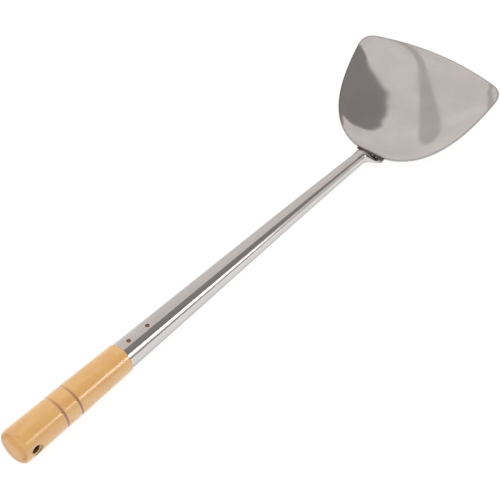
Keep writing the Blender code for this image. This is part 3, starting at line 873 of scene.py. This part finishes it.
def make_side_beads(look, blade):
    """The two beads under the blade, along the tongue's edges."""
    mesh = bmesh.new()
    mesh.from_mesh(blade.data)
    tree = BVHTree.FromBMesh(mesh)
    mesh.free()
    inner = TONGUE_FLAT + 2 * TONGUE_BEND / math.pi + SHAFT_SHEET / 2
    for node, side in (("tongue_weld_left", 1), ("tongue_weld_right", -1)):
        low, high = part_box(node)
        path, radii = [], []
        for along in np.linspace(-SIDE_WELD_REACH, SIDE_WELD_REACH, SIDE_WELD_STATIONS):
            x = (low[0] + high[0]) / 2 + along * (high[0] - low[0]) / 2
            y = side * (inner + SIDE_WELD_OUT)
            under = tree.ray_cast(Vector((x, y, -1)), Vector((0, 0, 1)))[0].z
            path.append(HANDLE.inverted() @ Vector((x, y, under - SIDE_WELD_DOWN)))
            ripple = 1 + 0.1 * math.sin(SIDE_WELD_RIPPLES * along)
            thick = SIDE_WELD_END_RADIUS + SIDE_WELD_SWELL * math.sqrt(max(1 - along**4, 0))
            radii.append(thick * ripple * MM)
        bead(node + "_bead", path, radii, node, look)


# ---------------------------------------------------------------- stage

FLOOR_REACH = 40
FLOOR_GREY = (0.14, 0.14, 0.14, 1)
FLOOR_GLOW = 0.9
TOP_LIGHT_POWER = 22
TOP_LIGHT_SIZE = 2.4
TOP_LIGHT_HEIGHT = 2.0

TENT_LEVEL = 0.74
TENT_COLOUR = (1.045, 0.985, 0.955, 1)
TENT_SLOPE = 0.16
CLOTH_LEVELS = (0.96, 1.045)

# What hangs in the tent, on a plan of the sky where (0, 0) is straight up and the horizon is a circle of
# radius 1. Each patch has a centre, a turn in degrees, a half size, and how soft, square and ragged it is.
# The opening and the bar are shaped so that the steel mirrors them where the photographed steel is dark.
OPENING = ((0.075, -0.176), -70.3, (0.338, 0.146), 0.04, 4.0, 0.2)
LOW_OPENING = ((0.305, -0.241), -47.7, (0.2185, 0.143), 0.07, 6.0)
CARD = ((0.50, -0.86), 28, (0.22, 0.10), 0.4)
STRIP = ((0.345, -0.555), -30, (0.12, 0.042), 0.8)
OPENING_DEPTH = 0.62
BAR_DEPTH = 0.29
CARD_DEPTH = 0.9
STRIP_LEVEL = 6.0

# The bar's middle line is a hyperbola, and the bar widens along it towards a round end.
BAR_BEND_AT = -0.228
BAR_BEND_SQUARE = 0.0086
BAR_SLOPES = (0.247, 0.282)
BAR_HEIGHT = 0.181
BAR_WIDENS = (-0.36, 0.08)
BAR_HALF_WIDTHS = (0.0105, 0.036)
BAR_END = 0.014
BAR_END_LENGTH = 0.12
BAR_SOFTNESS = 0.25


def make_floor():
    """A plain, nearly white floor, lit from within like a light table so that shadows stay faint."""
    bm = bmesh.new()
    bmesh.ops.create_grid(bm, x_segments=1, y_segments=1, size=FLOOR_REACH)
    floor = as_object("floor", bm, Matrix.Identity(4))
    look, nodes = start_material("pale_floor")
    shader = nodes.add(
        "ShaderNodeBsdfPrincipled",
        {
            "Base Color": FLOOR_GREY,
            "Roughness": 0.9,
            "Emission Color": (1, 1, 1, 1),
            "Emission Strength": FLOOR_GLOW,
        },
    )
    finish_material(nodes, shader)
    floor.data.materials.append(look)


def sky_patch(nodes, flat, centre, turn, half_size, soft, corner=2.0, ragged=0.0):
    """Mask of a soft-edged patch on the plan of the sky."""
    local = nodes.add("ShaderNodeMapping", {"Vector": flat}, vector_type="TEXTURE")
    local.inputs["Location"].default_value = (*centre, 0)
    local.inputs["Rotation"].default_value = (0, 0, math.radians(turn))
    local.inputs["Scale"].default_value = (*half_size, 1)
    u, v, _ = nodes.add("ShaderNodeSeparateXYZ", {0: local.outputs[0]}).outputs
    powers = [nodes.math("POWER", nodes.math("ABSOLUTE", part), corner) for part in (u, v)]
    radius = nodes.math("POWER", nodes.math("ADD", *powers), 1 / corner)
    wobble = nodes.math("MULTIPLY", nodes.math("SUBTRACT", nodes.noise(flat, 9.0, 3.0), 0.5), ragged)
    return nodes.span(nodes.math("ADD", radius, wobble), 1 - soft, 1 + soft, 1.0, 0.0)


def sky_bar(nodes, across, along):
    """Mask of the narrow bar that bends and widens towards its round end."""
    beside = nodes.math("SUBTRACT", across, BAR_BEND_AT)
    bend = nodes.math("ADD", nodes.math("MULTIPLY", beside, beside), BAR_BEND_SQUARE)
    straight = nodes.math("MULTIPLY", beside, BAR_SLOPES[0])
    bent = nodes.math("MULTIPLY", nodes.math("SQRT", bend), BAR_SLOPES[1])
    middle = nodes.math("ADD", nodes.math("ADD", straight, bent), BAR_HEIGHT)
    half_width = nodes.span(across, *BAR_WIDENS, *BAR_HALF_WIDTHS)
    off = nodes.math("DIVIDE", nodes.math("SUBTRACT", along, middle), half_width)
    past = nodes.math("DIVIDE", nodes.math("SUBTRACT", across, BAR_END), BAR_END_LENGTH)
    radius = nodes.hypot(off, nodes.math("MAXIMUM", past, 0.0))
    return nodes.span(radius, 1 - BAR_SOFTNESS, 1 + BAR_SOFTNESS, 1.0, 0.0)


def make_world():
    """A bright tent with a dark opening overhead, a dim bar, a dark card and a strip light low down."""
    world = bpy.data.worlds.new("studio")
    bpy.context.scene.world = world
    world.use_nodes = True
    nodes = Nodes(world.node_tree)
    direction = nodes.add("ShaderNodeTexCoord").outputs["Generated"]
    dx, dy, dz = nodes.add("ShaderNodeSeparateXYZ", {0: direction}).outputs
    # A little more than 1 keeps the plan finite straight down.
    lifted = nodes.math("ADD", dz, 1.02)
    across, along = (nodes.math("DIVIDE", part, lifted) for part in (dx, dy))
    flat = nodes.add("ShaderNodeCombineXYZ", {0: across, 1: along}).outputs[0]

    slope = nodes.math("ADD", nodes.math("MULTIPLY", along, TENT_SLOPE), 1.0)
    cloth = nodes.span(nodes.noise(flat, 5.0, 2.0), 0.35, 0.65, *CLOTH_LEVELS)
    level = nodes.math("MULTIPLY", slope, nodes.math("MULTIPLY", cloth, TENT_LEVEL))
    opening = nodes.math("MAXIMUM", sky_patch(nodes, flat, *OPENING), sky_patch(nodes, flat, *LOW_OPENING))
    shades = (
        (OPENING_DEPTH, opening),
        (BAR_DEPTH, sky_bar(nodes, across, along)),
        (CARD_DEPTH, sky_patch(nodes, flat, *CARD)),
    )
    for depth, mask in shades:
        lit = nodes.math("SUBTRACT", 1.0, nodes.math("MULTIPLY", mask, depth))
        level = nodes.math("MULTIPLY", level, lit)
    glare = nodes.math("MULTIPLY", sky_patch(nodes, flat, *STRIP), STRIP_LEVEL)
    level = nodes.math("ADD", level, glare)
    back = nodes.add("ShaderNodeBackground", {"Color": TENT_COLOUR, "Strength": level})
    nodes.add("ShaderNodeOutputWorld", {"Surface": back.outputs[0]})


def make_top_light():
    """A broad soft light overhead that the polished steel doesn't show."""
    data = bpy.data.lights.new("top_light", "AREA")
    data.shape = "DISK"
    data.size = TOP_LIGHT_SIZE
    data.energy = TOP_LIGHT_POWER
    light = bpy.data.objects.new("top_light", data)
    light.location = (0, 0, TOP_LIGHT_HEIGHT)
    light.visible_glossy = False
    bpy.context.scene.collection.objects.link(light)


def make_camera():
    """The camera, placed about the handle frame."""
    across = Vector((math.sin(CAMERA_AZIMUTH), -math.cos(CAMERA_AZIMUTH), 0))
    back = across * math.cos(CAMERA_ELEVATION) + Vector((0, 0, math.sin(CAMERA_ELEVATION)))
    aim = (-back).to_track_quat("-Z", "Y") @ Quaternion((0, 0, 1), CAMERA_ROLL)
    data = bpy.data.cameras.new("camera")
    data.lens = CAMERA_LENS
    data.shift_x = -CAMERA_SHIFT
    data.shift_y = CAMERA_SHIFT
    data.clip_start = 0.01
    camera = bpy.data.objects.new("camera", data)
    camera.matrix_world = HANDLE @ Matrix.LocRotScale(CAMERA_TARGET + CAMERA_DISTANCE * back, aim, None)
    bpy.context.scene.collection.objects.link(camera)
    bpy.context.scene.camera = camera


def build():
    """Make every piece, the stage, the light and the camera."""
    weld = weld_steel()
    make_camera()
    blade = make_blade(steel("polished_blade_steel", BLADE_POLISH, BLADE_HEAT), edge_steel())
    make_shaft(steel("polished_tube_steel", TUBE_POLISH, TUBE_HEAT_AND_SHADE))
    make_grip(lacquered_wood("lacquered_hardwood", LACQUERED), lacquered_wood("oiled_end_grain", OILED))
    make_pins(pin_metal())
    make_rim_bead(weld)
    make_side_beads(weld, blade)
    make_floor()
    make_world()
    make_top_light()
    bpy.context.scene.view_settings.view_transform = "Standard"


build()
